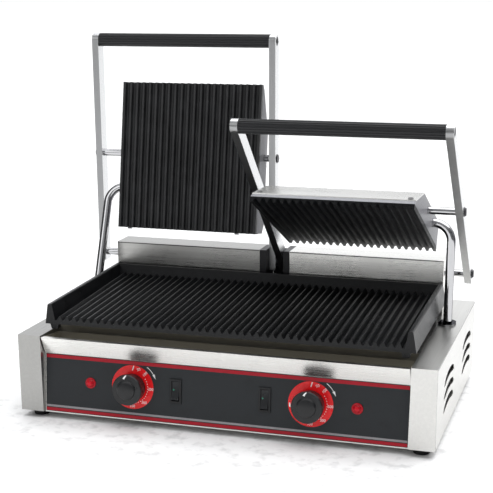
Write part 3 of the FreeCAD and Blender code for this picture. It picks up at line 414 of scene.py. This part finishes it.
def faces_channel(face):
    """The deck's apron, which stands in the shade behind the tray and takes the painted shade."""
    middle = face.calc_center_median()
    return middle.y < -108 * MM and abs(face.normal.z) < 0.5


def faces_tray_shade(face):
    """The tray's inner faces below its rolled lip, which take the painted shade."""
    middle = face.calc_center_median()
    looks_in = face.normal.y > 0.5 or face.normal.z > 0.5 or middle.y > -121 * MM
    return middle.z < 114 * MM and looks_in


def ends_lid(face):
    """The cast cheeks at the two ends of a lid, which take a darker copy of the paint as painted
    shade.
    """
    return abs(face.normal.x) > 0.7


def fronts_arm(face):
    """The narrow edge of an arm that faces the user when the arm stands upright; it takes a painted
    shade.
    """
    return face.normal.y < -0.7


refined("control_panel", 0.25 * MM, steel_x)
# The deck's apron and the tray's inner faces take the painted shade.
refined("top_deck", 0.25 * MM, steel_x, extra=steel_painted_shade, choose=faces_channel)
refined("drip_tray", 0.3 * MM, steel_tray, extra=steel_painted_shade, choose=faces_tray_shade)
refined("griddle_plate", 0.45 * MM, iron_griddle, sharp=25.0)
refined("fascia_overlay", 0.15 * MM, charcoal)
refined("dial_plates", 0.1 * MM, dial_red)
refined("housing_end_caps", 1.2 * MM, end_black, 3)
refined("cable_gland", 0.4 * MM, nylon)
refined("feet", 0.8 * MM, rubber, 3)
for node, material in (
        ("rear_panel", steel_x), ("base_pan", steel_x), ("heat_shield", steel_x),
        ("griddle_elements", sheath), ("hinge_brackets", zinc), ("hinge_bushes", bronze),
        ("counterbalance_springs", spring_blue)):
    paint(node, material)

for name, side in SIDES.items():
    # The side covers and hinge housings take the painted light and shade copies of the stainless.
    refined(f"{name}_side_cover", 0.7 * MM, steel_left if name == "left" else steel_right, 3,
            merge=False)
    refined(f"{name}_hinge_housing", 0.7 * MM, steel_housing[name], 3)
    arm_finish = arm_left if name == "left" else arm_right
    for row in ("outer", "inner"):
        # The arms' front edges take the painted shade.
        refined(f"{name}_{row}_arm", 0.5 * MM, arm_finish, extra=arm_front_shade, choose=fronts_arm)
    for node, width, material in (
            ("hinge_shaft", 0.6, chrome), ("plate_axle", 0.6, chrome),
            ("shaft_caps", 0.4, black_steel), ("grip_screws", 0.3, black_steel),
            ("grip", 0.2, grip_black), ("upper_plate", 0.45, iron[name]),
            ("upper_cover", 0.35, steel_x), ("cover_screws", 0.35, chrome),
            ("wire_tube", 0.3, chrome), ("switch_housing", 0.4, nylon),
            ("rocker", 0.5, rocker_black), ("knob", 0.3, bakelite),
            ("indicator_lamp", 0.3, lamp_red)):
        refined(f"{name}_{node}", width * MM, material)
    refined(f"{name}_upper_frame", 0.6 * MM, speckle, extra=speckle_shade, choose=ends_lid)
    for node, material in (
            ("thermostat", zinc), ("spindle", zinc), ("upper_element", sheath),
            ("tube_ferrule", chrome)):
        paint(f"{name}_{node}", material)


HOUSING_ENDS = (23.5 * MM, 248.5 * MM)
HOUSING_FRONT = 90 * MM
HOUSING_TOP = 194.5 * MM
COVER_OUTER = 285 * MM
COVER_FRONT, COVER_REAR = -175 * MM, 173 * MM
COVER_FOOT, COVER_TOP = 12 * MM, 117 * MM
STRIP_NEAR, STRIP_FAR = 0.8 * MM, 1.9 * MM
STRIP_PROUD, STRIP_DEPTH = 0.04 * MM, 0.4 * MM


def draw_fold_strips():
    """Dark strips just below the top fold of each housing front, and along the top and front folds
    of each side cover.
    """
    bm = bmesh.new()
    for side in SIDES.values():
        low_x, high_x = sorted(side * end for end in HOUSING_ENDS)
        slab(bm, (low_x, HOUSING_FRONT - STRIP_PROUD, HOUSING_TOP - STRIP_FAR),
             (high_x, HOUSING_FRONT + STRIP_DEPTH, HOUSING_TOP - STRIP_NEAR))
        low_x, high_x = sorted(
            (side * (COVER_OUTER + STRIP_PROUD), side * (COVER_OUTER - STRIP_DEPTH)))
        slab(bm, (low_x, COVER_FRONT + 2 * MM, COVER_TOP - STRIP_FAR),
             (high_x, COVER_REAR, COVER_TOP - STRIP_NEAR))
        slab(bm, (low_x, COVER_FRONT + STRIP_NEAR, COVER_FOOT),
             (high_x, COVER_FRONT + STRIP_FAR, COVER_TOP - 2 * MM))
    piece("fold_strips", bm, "cabinet", nylon)


draw_fold_strips()


# --- printing on the front ----------------------------------------------------------------------

PRINT = 0.06 * MM
CONTROL_LEVEL = 44.8 * MM
DIAL_OFFSET = 122.7 * MM
DIAL_RADIUS = 29.9 * MM
DIAL_FACE = -0.6 * MM
STRIPE_REACH = 249.3 * MM
LAMP_OFFSET = 183.7 * MM
LAMP_FACE = -4.9 * MM
ROCKER_OFFSET = 61.4 * MM
ROCKER_PIVOT_DEPTH = 2.5 * MM
ROCKER_TILT = math.radians(-8)
LED_PLACE = (-2.8 * MM, -3.5 * MM, 1.5 * MM)
DIAL_NUMBERS = ((19, "50"), (43, "100"), (92, "200"), (140, "300"), (180, "350"))
TILTED_UP_TO = 60
ARROW_SHARE = 1.175

for label, material, slot, bottom, top in (
        ("upper_stripe", stripe_red, "dial_red", 75.2, 79.9),
        ("middle_stripe", stripe_grey, "stainless", 6.9, 9.7),
        ("lower_stripe", stripe_red, "dial_red", 1.4, 5.7)):
    bm = bmesh.new()
    slab(bm, (-STRIPE_REACH, -PRINT, bottom * MM), (STRIPE_REACH, PRINT, top * MM))
    panel_piece(label, bm, "cabinet", material)


def print_dial(name, side):
    """Mark at the top, numbers clockwise from it, dots along the inner edge, arrow beside."""
    x = side * DIAL_OFFSET
    low, high = DIAL_FACE - PRINT, DIAL_FACE + PRINT

    def at(degrees, share):
        angle = math.radians(degrees)
        return (x + DIAL_RADIUS * share * math.sin(angle),
                CONTROL_LEVEL + DIAL_RADIUS * share * math.cos(angle))

    bm = bmesh.new()
    ribbon(bm, [at(-1, 0.76), at(3, 0.98)], 1.3 * MM, low, high)
    if side > 0:
        ribbon(bm, [at(-102, 0.93), at(-91, 0.93)], 1.6 * MM, low, high)
    for degrees, text in DIAL_NUMBERS:
        turn = math.radians(degrees) if degrees < TILTED_UP_TO else 0.0
        digits(bm, text, 5.2 * MM, at(degrees, 0.87), turn, low, high)
    for step in range(14):
        cx, cz = at(56 + 9.2 * step, 0.73)
        turned(bm, [(0.0, -PRINT), (0.6 * MM, -PRINT), (0.6 * MM, PRINT), (0.0, PRINT)],
               (cx, DIAL_FACE, cz), steps=12)
    panel_piece(f"{name}_dial_print", bm, "cabinet", print_white)
    bm = bmesh.new()
    sweep = [at(35 + 2.3 * step, ARROW_SHARE) for step in range(11)]
    ribbon(bm, sweep, 0.8 * MM, -PRINT, PRINT)
    ribbon(bm, [at(57, ARROW_SHARE), at(68, ARROW_SHARE)], [3.4 * MM, 0.05 * MM], -PRINT, PRINT)
    panel_piece(f"{name}_turn_arrow", bm, "cabinet", print_white)


def mark_knob(name, side):
    """White comma let into the face of the knob's rim."""
    x = side * DIAL_OFFSET
    bm = bmesh.new()
    path = []
    for step in range(7):
        angle = math.radians(-1 - 2.3 * step)
        radius = (20.0 - 0.72 * step) * MM
        path.append((x + radius * math.sin(angle), CONTROL_LEVEL + radius * math.cos(angle)))
    ribbon(bm, path, [(1.3 + 0.25 * step) * MM for step in range(7)], -22.98 * MM, -22.3 * MM)
    panel_piece(f"{name}_knob_pointer", bm, f"{name}_knob_body", print_white)


def fit_lamp_and_led(name, side):
    """A bright core in the indicator lamp, and a green light let into the rocker."""
    bm = bmesh.new()
    core = [(0.0, -0.25 * MM), (1.6 * MM, -0.05 * MM), (2.9 * MM, 0.45 * MM), (2.9 * MM, 1.4 * MM),
            (0.0, 1.4 * MM)]
    turned(bm, core, (side * LAMP_OFFSET, LAMP_FACE, CONTROL_LEVEL))
    panel_piece(f"{name}_lamp_core", bm, "cabinet", lamp_glow)
    bm = bmesh.new()
    dome = [(0.0, -0.35 * MM), (0.9 * MM, -0.25 * MM), (1.4 * MM, 0.1 * MM), (1.4 * MM, 1.0 * MM),
            (0.0, 1.0 * MM)]
    turned(bm, dome, (0, 0, 0), steps=24)
    pivot = Vector((side * ROCKER_OFFSET, ROCKER_PIVOT_DEPTH, CONTROL_LEVEL))
    bm.transform(Matrix.Translation(pivot) @ Matrix.Rotation(ROCKER_TILT, 4, "X")
                 @ Matrix.Translation(LED_PLACE))
    panel_piece(f"{name}_led", bm, f"{name}_rocker_body", led_green)


for name, side in SIDES.items():
    print_dial(name, side)
    mark_knob(name, side)
    fit_lamp_and_led(name, side)


# --- stage, light, camera -----------------------------------------------------------------------

def stage_plane(name, size, material):
    """A level square about the origin that belongs to the stage."""
    bm = bmesh.new()
    bmesh.ops.create_grid(bm, x_segments=1, y_segments=1, size=size / 2)
    mesh = bpy.data.meshes.new(name)
    bm.to_mesh(mesh)
    bm.free()
    mesh.materials.append(material)
    item = bpy.data.objects.new(name, mesh)
    bpy.context.scene.collection.objects.link(item)


def area_light(name, location, target, size, power):
    """A rectangular light that points at a target."""
    light = bpy.data.lights.new(name, "AREA")
    light.shape = "RECTANGLE"
    light.size, light.size_y = size
    light.energy = power
    item = bpy.data.objects.new(name, light)
    item.location = location
    item.rotation_euler = (Vector(target) - Vector(location)).to_track_quat("-Z", "Y").to_euler()
    bpy.context.scene.collection.objects.link(item)


floor_paint = moulded(
    "pale_floor", (0.84, 0.84, 0.84), 0.8, 60.0, 0.000001, Specular_IOR_Level=0.1)
stage_plane("floor", 60.0, floor_paint)

scene = bpy.context.scene
scene.view_settings.view_transform = "Standard"


def ranged(nodes, links, value, low, high, start, end):
    """A smooth step from one strength to another as a direction's component changes."""
    item = nodes.new("ShaderNodeMapRange")
    item.interpolation_type = "SMOOTHSTEP"
    limits = {"From Min": low, "From Max": high, "To Min": start, "To Max": end}
    for socket, number in limits.items():
        item.inputs[socket].default_value = number
    links.new(value, item.inputs["Value"])
    return item.outputs[0]


def combined(nodes, links, operation, *values):
    """The result of one arithmetic node on the given outputs."""
    item = nodes.new("ShaderNodeMath")
    item.operation = operation
    for socket, value in zip(item.inputs, values):
        links.new(value, socket)
    return item.outputs[0]


def build_world():
    """A soft room: bright behind and overhead, dimmer at the front and far to the sides.

    The camera itself sees plain white behind the object.
    """
    world = bpy.data.worlds.new("studio")
    world.use_nodes = True
    nodes, links = world.node_tree.nodes, world.node_tree.links
    room = nodes["Background"]
    room.inputs["Color"].default_value = (0.97, 0.98, 1.0, 1)
    toward = nodes.new("ShaderNodeSeparateXYZ")
    links.new(nodes.new("ShaderNodeTexCoord").outputs["Generated"], toward.inputs[0])
    across, along, up = toward.outputs
    aside = combined(nodes, links, "ABSOLUTE", across)
    ceiling = ranged(nodes, links, up, 0.0, 0.8, 0.3, 0.74)
    behind = ranged(nodes, links, along, 0.0, 0.8, 0.0, 0.62)
    sides = ranged(nodes, links, aside, 0.55, 0.85, 1.0, 0.2)
    before = ranged(nodes, links, along, -0.9, 0.0, 0.75, 1.0)
    dimming = combined(nodes, links, "MULTIPLY", sides, before)
    brightness = combined(nodes, links, "ADD", ceiling, behind)
    strength = combined(nodes, links, "MULTIPLY", brightness, dimming)
    links.new(strength, room.inputs["Strength"])
    backdrop = nodes.new("ShaderNodeBackground")
    backdrop.inputs["Color"].default_value = (1, 1, 1, 1)
    mixed = nodes.new("ShaderNodeMixShader")
    links.new(nodes.new("ShaderNodeLightPath").outputs["Is Camera Ray"], mixed.inputs[0])
    links.new(room.outputs[0], mixed.inputs[1])
    links.new(backdrop.outputs[0], mixed.inputs[2])
    links.new(mixed.outputs[0], nodes["World Output"].inputs["Surface"])
    return world


def sun_light(name, direction, strength, angle):
    """A distant soft light that shines from a direction."""
    light = bpy.data.lights.new(name, "SUN")
    light.energy = strength
    light.angle = math.radians(angle)
    item = bpy.data.objects.new(name, light)
    item.rotation_euler = Vector(direction).to_track_quat("Z", "Y").to_euler()
    bpy.context.scene.collection.objects.link(item)


scene.world = build_world()
sun_light("overhead", (0.25, 0.15, 1.0), 2.5, 70)
area_light("right", (1.6, 0.5, 0.9), (0.2, 0, 0.2), (0.9, 1.2), 1.0)
area_light("key", (-1.0, -1.5, 1.3), (0, 0, 0.15), (1.0, 1.0), 4.0)

AZIMUTH, ELEVATION, ROLL = math.radians(17.31), math.radians(15.75), math.radians(-0.32)
AIM = Vector((0.0, -0.025, 0.110))
DISTANCE = 1.72165
back = Vector((math.sin(AZIMUTH) * math.cos(ELEVATION), -math.cos(AZIMUTH) * math.cos(ELEVATION),
               math.sin(ELEVATION)))
camera_data = bpy.data.cameras.new("camera")
camera_data.sensor_width = 36.0
camera_data.lens = 89.72
camera_data.shift_x = -0.0102
camera_data.shift_y = 0.1621
camera = bpy.data.objects.new("camera", camera_data)
camera.location = AIM + back * DISTANCE
camera.rotation_mode = "QUATERNION"
camera.rotation_quaternion = (
    (-back).to_track_quat("-Z", "Y").to_matrix() @ Matrix.Rotation(ROLL, 3, "Z")).to_quaternion()
scene.collection.objects.link(camera)
scene.camera = camera
